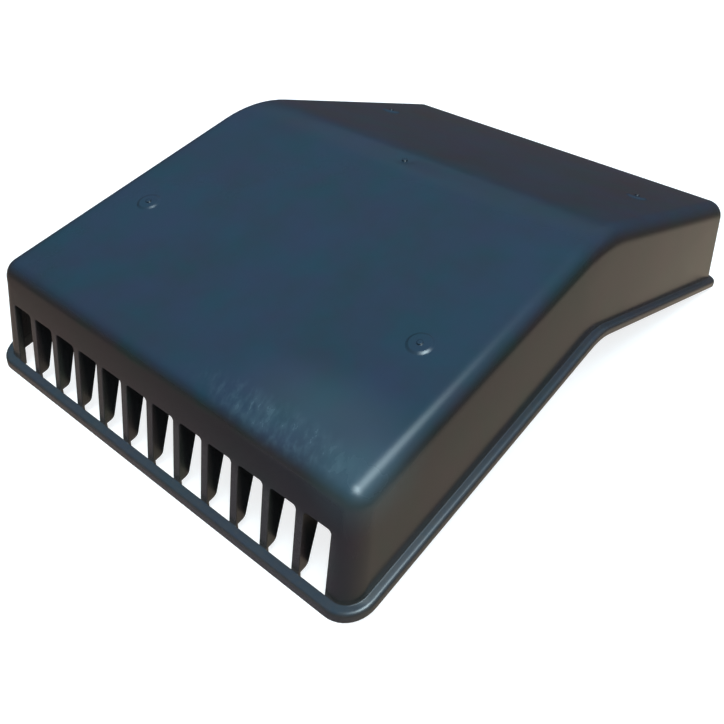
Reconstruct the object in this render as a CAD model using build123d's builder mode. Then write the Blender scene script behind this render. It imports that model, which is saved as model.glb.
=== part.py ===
"""Ridge vent cowl: one plastic moulding that sits astride a roof ridge and lets air out at both ends.

The ridge runs along X and the two slopes fall away along -Y (front) and +Y (rear). The origin is
under the middle of the cowl, at the level of the two eave edges that it stands on. Sizes in mm.
"""
import os
from math import cos, radians, sin, tan

from build123d import *

# Plan size over the lip, and the roof that it fits
width = 200.0
length = 280.0
roof_slope = 15.0

# Lip that lies on the roof, its bend over the ridge and its rounded edge
lip_overhang = 3.35
lip_thickness = 3.25
lip_bend_radius = 30.0
lip_edge_radius = 1.6

# Hood: its height is square to the slope, from the top of the lip
hood_height = 39.1
wall = 2.5
side_draft = 2.6
end_draft = 5.5
corner_radius = 7.8

# Grille in each end wall
slot_count = 12
slot_pitch = 14.58
bar_width = 3.2
slot_height = 26.0
slot_corner_radius = 1.5

# Fin behind each bar, and the foot that stands on the inner edge of the lip
fin_foot_depth = 1.0
fin_base_depth = 4.2
fin_lean = 16.0
fin_corner_radius = 2.6

# Screw bosses under the roof, and the low pad with a nub that marks each of them on top
boss_spacing_x = 142.4
boss_spacing_y = 154.8
boss_diameter = 9.0
pilot_diameter = 3.2
pilot_depth = 16.0
pad_diameter = 10.0
pad_height = 0.55
pad_rim_slope = 27.0
nub_diameter = 2.2
nub_height = 0.4

# Gate mark in the middle of the ridge: a shallow dish with the stub of the sprue in it
gate_dish_diameter = 13.0
gate_dish_depth = 0.5
gate_stub_diameter = 2.4
gate_stub_height = 0.5

# How far a cutting shape runs past what it cuts, and how much a rounding stays under one it meets
clear = 2.0
radius_step = 0.3

# Derived sizes and places
slope = radians(roof_slope)
lean_x = tan(radians(side_draft))
lean_y = tan(radians(end_draft))
face_half_width = width / 2 - lip_overhang
face_half_length = length / 2 - lip_overhang
lip_corner_radius = corner_radius + lip_overhang
ridge_height = length / 2 * tan(slope) + lip_thickness / cos(slope)
foot_height = ridge_height - face_half_length * tan(slope)
roof_top = ridge_height - lip_bend_radius / cos(slope) + lip_bend_radius + hood_height
slot_width = slot_pitch - bar_width
slot_top = foot_height + slot_height
grille_width = slot_count * slot_pitch - bar_width
slot_places = [(i - (slot_count - 1) / 2) * slot_pitch for i in range(slot_count)]
bar_places = [(i - (slot_count - 2) / 2) * slot_pitch for i in range(slot_count - 1)]


def slope_line(reach, height=0.0):
    """Level, this far out from the ridge, of a line this high over the top of the lip."""
    return ridge_height - reach * tan(slope) + height / cos(slope)


def end_face(z, depth=0.0):
    """Distance out from the ridge, at level z, of a plane this deep behind the end face."""
    return face_half_length - (z - foot_height) * lean_y - depth / cos(radians(end_draft))


def dish_radius(diameter, depth):
    """Radius of the ball that presses a dish of this diameter and depth."""
    return (diameter**2 / 4 + depth**2) / (2 * depth)


def over_the_ridge(section):
    """Sweep a section, drawn upright in local X and Y, along both slopes and round the ridge."""
    with BuildPart() as bent:
        with BuildLine(Plane.YZ) as path:
            FilletPolyline(
                (-length, slope_line(length)), (0, ridge_height), (length, slope_line(length)),
                radius=lip_bend_radius,
            )
        with BuildSketch(Plane(path.line @ 0, x_dir=(-1, 0, 0), z_dir=path.line % 0)):
            add(section)
        sweep()
    return bent.part


def hood_section(inset, base):
    """Upright section of the hood, this far inside its outer faces and open down to this level."""
    top = hood_height - inset
    half = face_half_width - inset / cos(radians(side_draft))
    with BuildSketch() as section:
        with BuildLine():
            Polyline(
                (base * lean_x - half, base), (half - base * lean_x, base),
                (half - top * lean_x, top), (top * lean_x - half, top), close=True,
            )
        make_face()
        fillet(section.vertices().group_by(Axis.Y)[-1], corner_radius - inset)
    return section.sketch


def hood_block(inset, base):
    """Solid hood, this far inside the outer faces, with leaning ends and rounded rims."""
    bent = over_the_ridge(hood_section(inset, base))
    low, high = -clear, roof_top + clear
    with BuildPart() as block:
        add(bent)
        with BuildSketch(Plane.YZ):
            with BuildLine():
                Polyline(
                    (-end_face(low, inset), low), (end_face(low, inset), low),
                    (end_face(high, inset), high), (-end_face(high, inset), high), close=True,
                )
            make_face()
        extrude(amount=width, both=True, mode=Mode.INTERSECT)
        ends = block.faces().filter_by(lambda face: abs(face.normal_at().Y) > 0.9)
        rims = ends.edges().filter_by(lambda edge: edge.center().Z > foot_height + clear)
        fillet(rims, corner_radius - inset - radius_step)
    return block.part


def lip_plate():
    """Lip before the mouth is cut: a plate bent over the ridge, rounded along its upper edge."""
    with BuildSketch() as section:
        Rectangle(2 * width, lip_thickness, align=(Align.CENTER, Align.MAX))
    bent = over_the_ridge(section.sketch)
    with BuildPart() as plate:
        add(bent)
        with BuildSketch():
            RectangleRounded(width, length, lip_corner_radius)
        extrude(amount=roof_top, mode=Mode.INTERSECT)
        upper = plate.faces().filter_by(lambda face: face.normal_at().Z > 0.5)
        rim = upper.edges().filter_by(lambda edge: max(abs(edge.center().X), abs(edge.center().Y)) > length / 4)
        fillet(rim, lip_edge_radius)
    return plate.part


def slot_fingers():
    """What fills the slots: from the end face inwards, down past the inner edge of the lip."""
    mouth = face_half_length - wall - clear
    with BuildPart() as fingers:
        with BuildSketch(*[Plane.YZ.offset(x) for x in slot_places]):
            with BuildLine():
                Polyline(
                    (-face_half_length, foot_height), (-face_half_length, -clear), (-mouth, -clear),
                    (-end_face(slot_top, wall + clear), slot_top),
                    (-end_face(slot_top) - clear, slot_top), close=True,
                )
            make_face()
            mirror(about=Plane.YZ)
        extrude(amount=slot_width / 2, both=True)
        top_corners = fingers.edges().filter_by(Axis.Y).group_by(Axis.Z)[-1]
        fillet(top_corners, slot_corner_radius)
    return fingers.part


def pads():
    """Low pads, one over each boss, rising out of the middle of the wall, with a nub on each top."""
    spread = 1 / tan(radians(pad_rim_slope))
    with BuildPart() as four:
        for side in (-1, 1):
            under = Plane(
                (0, side * boss_spacing_y / 2, slope_line(boss_spacing_y / 2, hood_height)),
                x_dir=(1, 0, 0), z_dir=(0, side * sin(slope), cos(slope)),
            ).offset(-wall / 2)
            with Locations(under):
                with GridLocations(boss_spacing_x, 0, 2, 1):
                    Cone(
                        pad_diameter / 2 + wall / 2 * spread, pad_diameter / 2 - pad_height * spread,
                        wall / 2 + pad_height, align=(Align.CENTER, Align.CENTER, Align.MIN),
                    )
                    Cylinder(
                        nub_diameter / 2, wall / 2 + pad_height + nub_height,
                        align=(Align.CENTER, Align.CENTER, Align.MIN),
                    )
    return four.part


def fin_slices():
    """What the fins keep free of the core: flat slices behind the bars, deeper towards the roof."""
    base = face_half_length - fin_base_depth
    rise = roof_top + clear - slope_line(base)
    with BuildPart() as slices:
        with BuildSketch(*[Plane.YZ.offset(x) for x in bar_places]) as profile:
            with BuildLine():
                Polyline(
                    (-face_half_length, foot_height), (-base, slope_line(base)),
                    (rise * tan(radians(fin_lean)) - base, slope_line(base) + rise),
                    (-face_half_length, slope_line(base) + rise), close=True,
                )
            make_face()
            lower_corners = profile.vertices().filter_by(lambda v: abs(v.X + base) < 0.001)
            fillet(lower_corners, fin_corner_radius)
            mirror(about=Plane.YZ)
        extrude(amount=bar_width / 2, both=True)
    return slices.part


outer_hood = hood_block(0, -lip_thickness)
inner_hood = hood_block(wall, -lip_thickness - clear)
plate = lip_plate()
fingers = slot_fingers()
fins = fin_slices()
boss_end = slope_line(boss_spacing_y / 2 - boss_diameter / 2, -lip_thickness)

# The core is the hollow of the hood as one solid: what the mould's core fills
with BuildPart() as core:
    add(inner_hood)
    foot = face_half_length - fin_foot_depth
    mouth = face_half_length - wall - clear
    with BuildSketch(Plane.YZ):
        with BuildLine():
            Polyline(
                (-foot, slope_line(foot)), (-foot, -clear), (-mouth, -clear), (-mouth, slope_line(mouth)),
                close=True,
            )
        make_face()
        mirror(about=Plane.YZ)
    extrude(amount=grille_width / 2, both=True)
    add(fins, mode=Mode.SUBTRACT)
    add(fingers)
    with BuildSketch(Plane.XY.offset(boss_end)):
        with GridLocations(boss_spacing_x, boss_spacing_y, 2, 2):
            Circle(boss_diameter / 2)
    extrude(amount=roof_top, mode=Mode.SUBTRACT)
    with BuildSketch(Plane.XY.offset(boss_end - clear)):
        with GridLocations(boss_spacing_x, boss_spacing_y, 2, 2):
            Circle(pilot_diameter / 2)
    extrude(amount=clear + pilot_depth)

with BuildPart() as cowl:
    add(outer_hood)
    add(plate)
    add(core.part, mode=Mode.SUBTRACT)
    add(pads())
    gate_ball = dish_radius(gate_dish_diameter, gate_dish_depth)
    with Locations((0, 0, roof_top + gate_ball - gate_dish_depth)):
        Sphere(gate_ball, mode=Mode.SUBTRACT)
    with BuildSketch(Plane.XY.offset(roof_top - gate_dish_depth - wall / 2)):
        Circle(gate_stub_diameter / 2)
    extrude(amount=wall / 2 + gate_stub_height)

cowl.part.label = "cowl"

os.makedirs("parts", exist_ok=True)
export_step(cowl.part, "parts/cowl.step")
print("cowl", cowl.part.volume, cowl.part.is_valid, cowl.part.bounding_box())
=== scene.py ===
"""Dresses the ridge vent cowl: a dark moulding with a satin skin and a painted slate-blue sky sheen, on
a pale studio floor.
"""
from math import radians

import bmesh
import bpy
from bpy.props import FloatProperty, FloatVectorProperty, PointerProperty
from bpy.types import Operator, Panel, PropertyGroup
from mathutils import Matrix, Vector


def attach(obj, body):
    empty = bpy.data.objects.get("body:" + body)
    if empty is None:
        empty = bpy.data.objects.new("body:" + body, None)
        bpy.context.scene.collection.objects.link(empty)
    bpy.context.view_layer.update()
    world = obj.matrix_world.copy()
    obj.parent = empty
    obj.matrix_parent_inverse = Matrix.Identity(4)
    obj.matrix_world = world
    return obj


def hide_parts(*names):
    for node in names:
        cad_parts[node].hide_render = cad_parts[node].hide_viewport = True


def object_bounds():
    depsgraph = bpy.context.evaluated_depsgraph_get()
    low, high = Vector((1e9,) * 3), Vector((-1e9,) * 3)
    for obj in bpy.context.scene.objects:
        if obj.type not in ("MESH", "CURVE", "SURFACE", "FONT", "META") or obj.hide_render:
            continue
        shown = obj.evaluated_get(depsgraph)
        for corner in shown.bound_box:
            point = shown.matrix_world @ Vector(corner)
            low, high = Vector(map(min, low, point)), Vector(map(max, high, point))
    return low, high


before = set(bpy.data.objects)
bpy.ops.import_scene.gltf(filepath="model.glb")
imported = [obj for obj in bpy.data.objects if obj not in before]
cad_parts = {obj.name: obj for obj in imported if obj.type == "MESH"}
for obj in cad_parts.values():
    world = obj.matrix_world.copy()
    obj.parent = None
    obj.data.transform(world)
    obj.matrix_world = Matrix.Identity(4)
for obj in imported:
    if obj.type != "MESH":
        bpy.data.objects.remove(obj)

bl_info = {
    "name": "Ridge Vent Cowl",
    "version": (1, 0, 0),
    "blender": (4, 5, 0),
    "location": "View3D > Sidebar > Cowl",
    "description": "Finishes the moulded ridge vent cowl and sets it on a studio floor",
    "category": "Object",
}

CAD_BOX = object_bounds()

# Corners of the CAD mesh nearer than this are one, and edges that turn by this or more stay sharp
MERGE_DISTANCE = 1e-6
SHARP_ANGLE = radians(26)

# Where the moulding's features lie, in metres; a pair is where a smooth change begins and ends
INSIDE_HALF_WIDTH = (0.0885, 0.0905)
INSIDE_HALF_LENGTH = (0.1325, 0.1350)
GRILLE_HALF_WIDTH = (0.085, 0.090)
BAR_FACE = (0.1310, 0.1335)
LIP_TOP_AT_RIDGE = 0.0409
LIP_FALL = 0.268
OVER_LIP_DUST = (0.0002, 0.002)
OVER_LIP_SLOT_HEAD = (0.020, 0.027)

# How far a face looks up where it takes the painted sky sheen or the painted shade inside the hood, and
# how squarely a bar looks out
SHEEN_UP = (0.30, 0.90)
INSIDE_UP = (0.1, 0.3)
BAR_OUT = (0.7, 0.95)

# Centre and half-size of each egg-shaped region of the rubbed patch and of the painted highlight haze at
# the near corner, and the slant of its dabs
HAZE_REGION = ((0.070, -0.1165, 0.050), (0.050, 0.0235, 0.03))
DABS_REGION = ((0.055, -0.1256, 0.048), (0.046, 0.0090, 0.012))
CORNER_REGION = ((0.088, -0.1275, 0.047), (0.020, 0.020, 0.020))
DAB_STRIDE = (1.0, 2.6, 1.0)
DAB_SLANT = radians(25)
DAB_COVER = (0.36, 0.82)

# Slow drift of the hue, read this far from the clouds so that the two don't coincide
HUE_CENTRE = (3.1, 1.7, 0.4)
HUE_STOPS = (
    (0.32, (0.74, 1.12, 1.0, 1)),
    (0.5, (1, 1, 1, 1)),
    (0.68, (1.16, 0.93, 1.04, 1)),
)

# Colours of the room: the sky by the height of a direction, and what lies low around the cowl
SKY_STOPS = (
    (0.0, (0.0195, 0.0140, 0.0110, 1)),
    (0.15, (0.0185, 0.0185, 0.020, 1)),
    (0.45, (0.024, 0.041, 0.059, 1)),
    (0.62, (0.041, 0.078, 0.114, 1)),
    (0.85, (0.061, 0.117, 0.174, 1)),
)
LOW_FRONT = (0.050, 0.045, 0.060, 1)
LOW_FRONT_LEFT = (0.085, 0.066, 0.057, 1)
LOW_REAR = (0.125, 0.105, 0.082, 1)
HORIZON = (-0.38, -0.16)

# Colour of the opening overhead, and the share of it in its glow, its core and the two weak lights
OPENING_COLOUR = (9.4, 11.7, 12.5, 1.0)
GLOW_SHARE = 0.17
CORE_SHARE = 0.15
LOW_RIGHT_SHARE = 0.00625
BEHIND_SHARE = 0.00225

# Lamp that fills from above, the black card of painted shade under the hood, and the camera's plain
# settings
LAMP_PLACE = (-0.25, 0.1, 1.5)
LAMP_AIM = (0.0, 0.0, 0.03)
LAMP_SIZE = (1.6, 1.6)
SHADE_CARD_SHARE = 0.92
SHADE_CARD_LEVEL = 0.0004
SENSOR_WIDTH = 36.0
NEAREST, FARTHEST = 0.01, 100.0

WHITE = (1.0, 1.0, 1.0, 1.0)
BLACK = (0.0, 0.0, 0.0, 1.0)


class ShaderMaths:
    """Builds the nodes of one material or world. A wrapped socket takes part in plain Python sums."""

    class Value:
        """One output socket, with the operators that the materials and the room use."""

        def __init__(self, maths, socket):
            self.maths, self.socket = maths, socket

        def _sum(self, operation, first, second):
            return self.maths.node("ShaderNodeMath", {"operation": operation}, {0: first, 1: second})

        def __add__(self, other):
            return self._sum("ADD", self, other)

        def __radd__(self, other):
            return self._sum("ADD", other, self)

        def __sub__(self, other):
            return self._sum("SUBTRACT", self, other)

        def __rsub__(self, other):
            return self._sum("SUBTRACT", other, self)

        def __mul__(self, other):
            return self._sum("MULTIPLY", self, other)

        def __rmul__(self, other):
            return self._sum("MULTIPLY", other, self)

        def __pow__(self, other):
            return self._sum("POWER", self, other)

        def __abs__(self):
            return self._sum("ABSOLUTE", self, 0.0)

    def __init__(self, owner):
        owner.use_nodes = True
        self.tree = owner.node_tree
        self.tree.nodes.clear()

    def node(self, kind, settings=None, inputs=None, output=0):
        """Add a node: its settings first, then the values and links of its sockets."""
        node = self.tree.nodes.new(kind)
        for name, value in (settings or {}).items():
            if name == "stops":
                ramp = node.color_ramp
                while len(ramp.elements) < len(value):
                    ramp.elements.new(1.0)
                for element, (place, colour) in zip(ramp.elements, value):
                    element.position, element.color = place, colour
            else:
                setattr(node, name, value)
        for name, value in (inputs or {}).items():
            if isinstance(value, ShaderMaths.Value):
                self.tree.links.new(value.socket, node.inputs[name])
            else:
                node.inputs[name].default_value = value
        return ShaderMaths.Value(self, node.outputs[output]) if node.outputs else None

    def step(self, value, low, high):
        """0 at the low value, 1 at the high one, with a smooth change between them."""
        return self.node(
            "ShaderNodeMapRange", {"interpolation_type": "SMOOTHSTEP"},
            {"Value": value, "From Min": low, "From Max": high},
        )

    def noise(self, place, scale, detail, roughness, distortion=0.0):
        """Cloudy noise, with its scale in waves per metre."""
        return self.node(
            "ShaderNodeTexNoise", None,
            {
                "Vector": place, "Scale": scale, "Detail": detail,
                "Roughness": roughness, "Distortion": distortion,
            },
        )

    def blend(self, factor, first, second, kind="MIX"):
        """Mix two colours."""
        return self.node(
            "ShaderNodeMix", {"data_type": "RGBA", "blend_type": kind},
            {0: factor, 6: first, 7: second}, output=2,
        )

    def parts(self, vector):
        """The three components of a vector."""
        first = self.node("ShaderNodeSeparateXYZ", None, {0: vector})
        return [ShaderMaths.Value(self, socket) for socket in first.socket.node.outputs]

    def stretched(self, place, size=(1.0, 1.0, 1.0), turn=0.0, centre=(0.0, 0.0, 0.0)):
        """Place relative to a centre, turned about the upright and counted in strides of this size."""
        return self.node(
            "ShaderNodeMapping", {"vector_type": "TEXTURE"},
            {"Vector": place, "Location": centre, "Rotation": (0.0, 0.0, turn), "Scale": size},
        )

    def spot(self, place, region, soft):
        """1 at the centre of an egg-shaped region, falling to 0 at its edge over this share of it."""
        centre, size = region
        near = self.stretched(place, size, centre=centre)
        reach = self.node("ShaderNodeVectorMath", {"operation": "LENGTH"}, {0: near}, output=1)
        return 1 - self.step(reach, 1 - soft, 1.0)


class CowlFinish(PropertyGroup):
    """Colours, wear, painted sheen and painted shade of the moulding."""

    # The plastic's own dark colour, under the painted sky sheen
    body_colour: FloatVectorProperty(
        name="Body colour", description="Colour of the plastic under the bloom of age",
        subtype="COLOR", size=4, min=0, max=1, default=(0.0190, 0.0165, 0.0150, 1.0),
    )
    # Painted sky sheen: slate blue painted on the faces that look up, in place of the sky they reflect
    sky_sheen_colour: FloatVectorProperty(
        name="Bloom colour", description="Slate blue that weather leaves on the faces that look up",
        subtype="COLOR", size=4, min=0, max=1, default=(0.0154, 0.0268, 0.0428, 1.0),
    )
    # Painted shade: the darker colour painted inside the hood
    inside_shade_colour: FloatVectorProperty(
        name="Inner colour", description="Raw plastic inside the hood",
        subtype="COLOR", size=4, min=0, max=1, default=(0.0060, 0.0060, 0.0063, 1.0),
    )
    # Colour of the rubbed scuffs, also used for the painted highlight haze at the near corner
    scuff_and_sheen_colour: FloatVectorProperty(
        name="Scuff colour", description="Pale blue-grey of rubbed plastic",
        subtype="COLOR", size=4, min=0, max=1, default=(0.078, 0.118, 0.132, 1.0),
    )
    dust_colour: FloatVectorProperty(
        name="Dust colour", description="Grey-brown film on the lip and on the bars of the grilles",
        subtype="COLOR", size=4, min=0, max=1, default=(0.044, 0.037, 0.034, 1.0),
    )
    # Cover of the painted sky sheen on the faces that look up
    painted_sheen: FloatProperty(
        name="Bloom", description="Mean cover of the bloom on a face that looks up",
        subtype="FACTOR", min=0, max=1, default=0.86,
    )
    dust: FloatProperty(
        name="Dust", description="Mean cover of the dust on the lip and the bars",
        subtype="FACTOR", min=0, max=1, default=0.55,
    )
    haze: FloatProperty(
        name="Haze", description="Rubbed haze near the front edge of the roof",
        subtype="FACTOR", min=0, max=1, default=0.20,
    )
    # Painted highlight: pale haze painted around the near corner of the roof, where the corner's
    # highlight spreads
    corner_sheen: FloatProperty(
        name="Corner wear", description="Rubbed haze at the near corner of the roof",
        subtype="FACTOR", min=0, max=1, default=0.22,
    )
    dabs: FloatProperty(
        name="Dabs", description="Slanting rubbed dabs along the front edge of the roof",
        subtype="FACTOR", min=0, max=1, default=0.44,
    )
    roughness: FloatProperty(
        name="Roughness", description="Mean roughness of the satin skin",
        subtype="FACTOR", min=0, max=1, default=0.21,
    )
    grain: FloatProperty(
        name="Grain depth", description="Depth of the fine moulded grain",
        unit="LENGTH", min=0, max=0.001, default=0.00003,
    )
    edge_radius: FloatProperty(
        name="Edge radius", description="Softness of the edges that the mould leaves sharp",
        unit="LENGTH", min=0, max=0.002, default=0.0007,
    )


class CowlStage(PropertyGroup):
    """Floor, light and camera."""

    floor_size: FloatProperty(
        name="Floor size", description="Side of the square floor",
        unit="LENGTH", min=1, default=30.0,
    )
    floor_colour: FloatVectorProperty(
        name="Floor colour", description="Colour of the pale floor",
        subtype="COLOR", size=4, min=0, max=1, default=(0.40, 0.40, 0.40, 1.0),
    )
    floor_glow: FloatProperty(
        name="Floor glow", description="Light that comes up through the floor",
        min=0, max=2, default=0.8,
    )
    room_strength: FloatProperty(
        name="Room strength", description="Strength of the room that the gloss mirrors",
        min=0, max=20, default=4.0,
    )
    lamp_power: FloatProperty(
        name="Lamp power", description="Power of the soft lamp above the cowl",
        unit="POWER", min=0, max=100, default=1.5,
    )
    camera_place: FloatVectorProperty(
        name="Camera place", description="Where the camera stands",
        subtype="TRANSLATION", size=3, default=(0.203129, -0.26139, 0.222792),
    )
    camera_aim: FloatVectorProperty(
        name="Camera aim", description="Point that the camera looks at",
        subtype="TRANSLATION", size=3, default=(0.03275, -0.04376, 0.045),
    )
    camera_roll: FloatProperty(
        name="Camera roll", description="Tilt of the camera about its line of sight",
        subtype="ANGLE", default=radians(3.5),
    )
    lens: FloatProperty(
        name="Lens", description="Focal length of the lens",
        unit="CAMERA", min=10, max=200, default=42.632,
    )
    shift: FloatVectorProperty(
        name="Lens shift", description="Sideways and upward shift of the lens",
        size=2, default=(-0.04353, -0.08742),
    )


class CowlSettings(PropertyGroup):
    """All that a user of the panel would change."""

    finish: PointerProperty(type=CowlFinish)
    stage: PointerProperty(type=CowlStage)


def plastic_with_painted_light(finish):
    """Satin plastic: a dark body, a slate-blue sky sheen painted on what faces up, painted shade inside
    the hood, a painted highlight haze at the near corner, dust, fine grain and rubbed edges.
    """
    material = bpy.data.materials.new("slate_plastic_painted_sheen_and_shade")
    maths = ShaderMaths(material)
    place = maths.node("ShaderNodeTexCoord", output=3)
    facing = maths.node("ShaderNodeTexCoord", output=1)
    across, along, level = maths.parts(place)
    end_on, up = maths.parts(facing)[1:]
    out, reach = abs(across), abs(along)

    clouds = maths.noise(place, scale=22.0, detail=4.0, roughness=0.55)
    mottle = maths.noise(place, scale=75.0, detail=4.0, roughness=0.6)
    speckle = maths.noise(place, scale=480.0, detail=2.0, roughness=0.6)
    fine = maths.noise(place, scale=1400.0, detail=2.0, roughness=0.5)

    # Painted sky sheen: slate blue painted on what looks up, in place of the sky it reflects, in slowly
    # drifting hues
    painted_sheen = maths.step(up, *SHEEN_UP) * (finish.painted_sheen + (clouds - 0.5) + 0.6 * (mottle - 0.5))
    colour = maths.blend(painted_sheen, tuple(finish.body_colour), tuple(finish.sky_sheen_colour))
    drift = maths.noise(maths.stretched(place, centre=HUE_CENTRE), scale=55.0, detail=3.0, roughness=0.5)
    hue = maths.node("ShaderNodeValToRGB", {"stops": HUE_STOPS}, {0: drift})
    colour = maths.blend(1.0, colour, hue, "MULTIPLY")

    # Painted shade: a darker colour painted inside the hood, where shade falls
    inside = (1 - maths.step(out, *INSIDE_HALF_WIDTH)) * (1 - maths.step(reach, *INSIDE_HALF_LENGTH))
    inside = inside * (1 - maths.step(up, *INSIDE_UP))
    colour = maths.blend(inside, colour, tuple(finish.inside_shade_colour))

    # Film of dust on the lip, and on the bars below the heads of the slots
    over_lip = level - (LIP_TOP_AT_RIDGE - LIP_FALL * reach)
    on_lip = 1 - maths.step(over_lip, *OVER_LIP_DUST)
    on_bars = (1 - maths.step(over_lip, *OVER_LIP_SLOT_HEAD)) * maths.step(abs(end_on), *BAR_OUT)
    on_bars = on_bars * maths.step(reach, *BAR_FACE) * (1 - maths.step(out, *GRILLE_HALF_WIDTH))
    dust = finish.dust * (on_lip + on_bars) * (0.30 + 1.4 * speckle)
    colour = maths.blend(dust, colour, tuple(finish.dust_colour))

    # Rubbed patch along the front edge of the roof: a pale haze, broken into slanting dabs, and a pale
    # painted highlight haze around the near corner
    haze = maths.spot(place, HAZE_REGION, soft=0.9)
    # Painted highlight haze around the near corner
    corner = maths.spot(place, CORNER_REGION, soft=1.0)
    patch = maths.spot(place, DABS_REGION, soft=0.75)
    slanted = maths.stretched(place, DAB_STRIDE, turn=DAB_SLANT)
    dabs = maths.noise(slanted, scale=380.0, detail=3.0, roughness=0.55, distortion=0.2)
    rubbed = finish.dabs * patch * maths.step(dabs, *DAB_COVER)
    scuffs_and_sheen = finish.haze * haze + finish.corner_sheen * corner + rubbed
    colour = maths.blend(scuffs_and_sheen, colour, tuple(finish.scuff_and_sheen_colour))

    rough = finish.roughness + 0.07 * (mottle - 0.5) + 0.10 * (clouds - 0.5) + 0.2 * scuffs_and_sheen
    eased = maths.node("ShaderNodeBevel", {"samples": 6}, {"Radius": finish.edge_radius})
    skin = maths.node(
        "ShaderNodeBump", None,
        {"Strength": 0.3, "Distance": finish.grain, "Height": fine, "Normal": eased},
    )
    surface = maths.node(
        "ShaderNodeBsdfPrincipled", None,
        {
            "Base Color": colour, "Roughness": rough, "Normal": skin,
            "IOR": 1.5, "Specular IOR Level": 0.5,
        },
    )
    maths.node("ShaderNodeOutputMaterial", None, {"Surface": surface})
    return material


class COWL_OT_moulding(Operator):
    """Make the moulded cowl from its CAD solid: one skin with smooth bends and the worn finish, with its
    painted sheen and painted shade
    """

    bl_idname = "cowl.moulding"
    bl_label = "Moulding"

    def execute(self, context):
        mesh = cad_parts["cowl"].data.copy()
        mesh.name = "moulded_cowl"
        skin = bmesh.new()
        skin.from_mesh(mesh)
        bmesh.ops.remove_doubles(skin, verts=skin.verts, dist=MERGE_DISTANCE)
        for face in skin.faces:
            face.smooth = True
        for edge in skin.edges:
            edge.smooth = edge.is_manifold and edge.calc_face_angle(0.0) < SHARP_ANGLE
        skin.to_mesh(mesh)
        skin.free()
        mesh.materials.clear()
        mesh.materials.append(plastic_with_painted_light(context.scene.cowl.finish))
        piece = bpy.data.objects.new("moulded_cowl", mesh)
        context.scene.collection.objects.link(piece)
        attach(piece, "root")
        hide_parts("cowl")
        return {"FINISHED"}


def flat_card(name, width, length, level, colour, glow=0.0):
    """Lay a matt card of one plain colour, which belongs to the stage."""
    x, y = width / 2, length / 2
    corners = [(-x, -y, level), (x, -y, level), (x, y, level), (-x, y, level)]
    sheet = bpy.data.meshes.new(name)
    sheet.from_pydata(corners, [], [(0, 1, 2, 3)])
    paper = bpy.data.materials.new(name)
    maths = ShaderMaths(paper)
    surface = maths.node(
        "ShaderNodeBsdfPrincipled", None,
        {
            "Base Color": colour, "Roughness": 0.9, "Specular IOR Level": 0.0,
            "Emission Color": WHITE, "Emission Strength": glow,
        },
    )
    maths.node("ShaderNodeOutputMaterial", None, {"Surface": surface})
    sheet.materials.append(paper)
    card = bpy.data.objects.new(name, sheet)
    bpy.context.scene.collection.objects.link(card)
    return card


def studio_room(strength):
    """Room that lights the cowl and that its gloss mirrors. The camera itself sees plain white."""
    world = bpy.data.worlds.new("studio")
    maths = ShaderMaths(world)
    towards = maths.node("ShaderNodeTexCoord", output=0)
    right, back, height = maths.parts(towards)
    sky = maths.node("ShaderNodeValToRGB", {"stops": SKY_STOPS}, {0: height})
    rearward = maths.step(0.6 * right + 0.8 * back, -0.7, 0.7)
    front = maths.blend(maths.step(right, -0.45, -0.80), LOW_FRONT, LOW_FRONT_LEFT)
    ground = maths.blend(rearward, front, LOW_REAR)
    around = maths.blend(maths.step(height, *HORIZON), ground, sky)

    # A bright opening overhead: the nearness of a direction to its middle is 1 there
    nearness = 0.30 * right - 0.20 * back + 0.933 * height
    glow = GLOW_SHARE * maths.step(nearness, 0.81, 1.0) ** 3.0
    core = CORE_SHARE * maths.step(nearness, 0.970, 0.998)

    # A weak opening low at the right, and a pale strip low behind
    low_right = LOW_RIGHT_SHARE * maths.step(right, 0.2, 0.5) * maths.step(height, 0.10, 0.45)
    low_right = low_right * (1 - maths.step(back, 0.10, 0.60))
    behind = BEHIND_SHARE * maths.step(height, 0.26, 0.40) * maths.step(back, 0.45, 0.70)
    behind = behind * (1 - maths.step(height, 0.50, 0.66))
    around = maths.blend(glow + core + low_right + behind, around, OPENING_COLOUR)

    room = maths.node("ShaderNodeBackground", None, {"Color": around, "Strength": strength})
    backdrop = maths.node("ShaderNodeBackground", None, {"Color": WHITE, "Strength": 1.0})
    in_view = maths.node("ShaderNodeLightPath", output=0)
    both = maths.node("ShaderNodeMixShader", None, {0: in_view, 1: room, 2: backdrop})
    maths.node("ShaderNodeOutputWorld", None, {"Surface": both})
    return world


def aimed(place, aim):
    """Matrix that stands at a place with its back to +Z and looks at the aim point."""
    sight = Vector(aim) - Vector(place)
    return Matrix.Translation(place) @ sight.to_track_quat("-Z", "Y").to_matrix().to_4x4()


def soft_lamp(power):
    """Hang a soft square lamp above the cowl that leaves no mirror image."""
    light = bpy.data.lights.new("overhead", "AREA")
    light.shape = "RECTANGLE"
    light.size, light.size_y = LAMP_SIZE
    light.energy = power
    lamp = bpy.data.objects.new("overhead", light)
    lamp.matrix_world = aimed(LAMP_PLACE, LAMP_AIM)
    lamp.visible_glossy = False
    bpy.context.scene.collection.objects.link(lamp)


def studio_camera(stage):
    """Camera with a shifted lens, so that its frame lies off the line of sight."""
    camera = bpy.data.cameras.new("camera")
    camera.lens = stage.lens
    camera.sensor_width = SENSOR_WIDTH
    camera.shift_x, camera.shift_y = stage.shift
    camera.clip_start, camera.clip_end = NEAREST, FARTHEST
    eye = bpy.data.objects.new("camera", camera)
    roll = Matrix.Rotation(stage.camera_roll, 4, "Z")
    eye.matrix_world = aimed(stage.camera_place, stage.camera_aim) @ roll
    bpy.context.scene.collection.objects.link(eye)
    return eye


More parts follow.
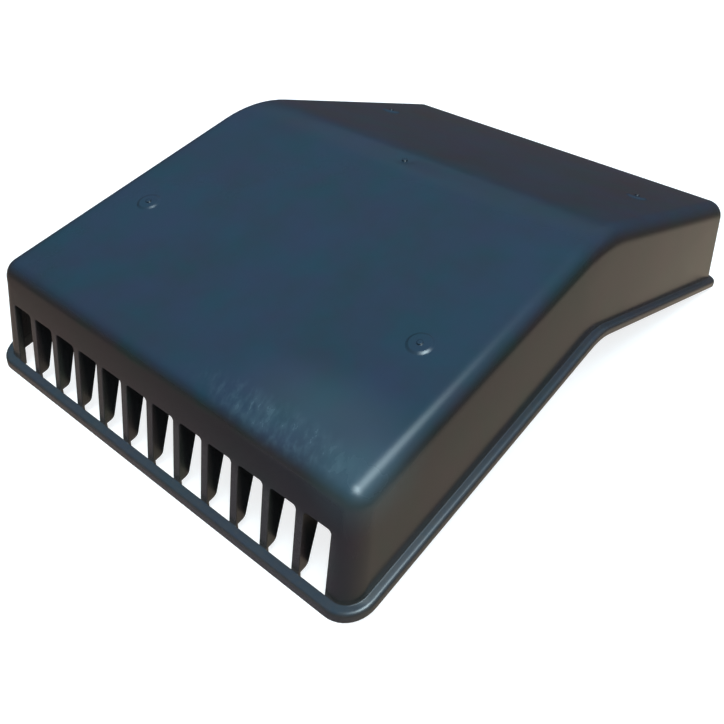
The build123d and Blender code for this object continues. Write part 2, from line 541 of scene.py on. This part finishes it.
class COWL_OT_stage(Operator):
    """Lay the pale floor, light the room and set the camera"""

    bl_idname = "cowl.stage"
    bl_label = "Stage"

    def execute(self, context):
        scene = context.scene
        stage = scene.cowl.stage
        floor = flat_card(
            "floor", stage.floor_size, stage.floor_size, 0.0,
            tuple(stage.floor_colour), stage.floor_glow,
        )
        floor.visible_glossy = False

        # Painted shade: a black card in place of the unlit hollow under the hood, which only the mirror
        # images of the fins show, through the open mouth
        low, high = CAD_BOX
        width, length = ((high[i] - low[i]) * SHADE_CARD_SHARE for i in (0, 1))
        painted_shade_card = flat_card("painted_shade_card", width, length, SHADE_CARD_LEVEL, BLACK)
        painted_shade_card.visible_camera = painted_shade_card.visible_diffuse = False
        painted_shade_card.visible_transmission = painted_shade_card.visible_shadow = False

        scene.world = studio_room(stage.room_strength)
        soft_lamp(stage.lamp_power)
        scene.camera = studio_camera(stage)
        scene.view_settings.view_transform = "Standard"
        return {"FINISHED"}


class COWL_PT_sidebar(Panel):
    """Lists the sizes, the colours and the steps that make the cowl"""

    bl_idname = "COWL_PT_sidebar"
    bl_label = "Ridge Vent Cowl"
    bl_space_type = "VIEW_3D"
    bl_region_type = "UI"
    bl_category = "Cowl"

    def draw(self, context):
        settings = context.scene.cowl
        for group, step in ((settings.finish, COWL_OT_moulding), (settings.stage, COWL_OT_stage)):
            part = self.layout.box()
            part.label(text=step.bl_label)
            for name in group.__annotations__:
                part.prop(group, name)
            part.operator(step.bl_idname)


CLASSES = (CowlFinish, CowlStage, CowlSettings, COWL_OT_moulding, COWL_OT_stage, COWL_PT_sidebar)


def register():
    """Add the cowl's settings, steps and panel to Blender."""
    for cls in CLASSES:
        bpy.utils.register_class(cls)
    bpy.types.Scene.cowl = PointerProperty(type=CowlSettings)


def unregister():
    """Take them out again."""
    del bpy.types.Scene.cowl
    for cls in reversed(CLASSES):
        bpy.utils.unregister_class(cls)


def main():
    """Register the cowl's steps, then build the cowl and its stage."""
    register()
    bpy.ops.cowl.moulding()
    bpy.ops.cowl.stage()


if __name__ == "__main__":
    main()
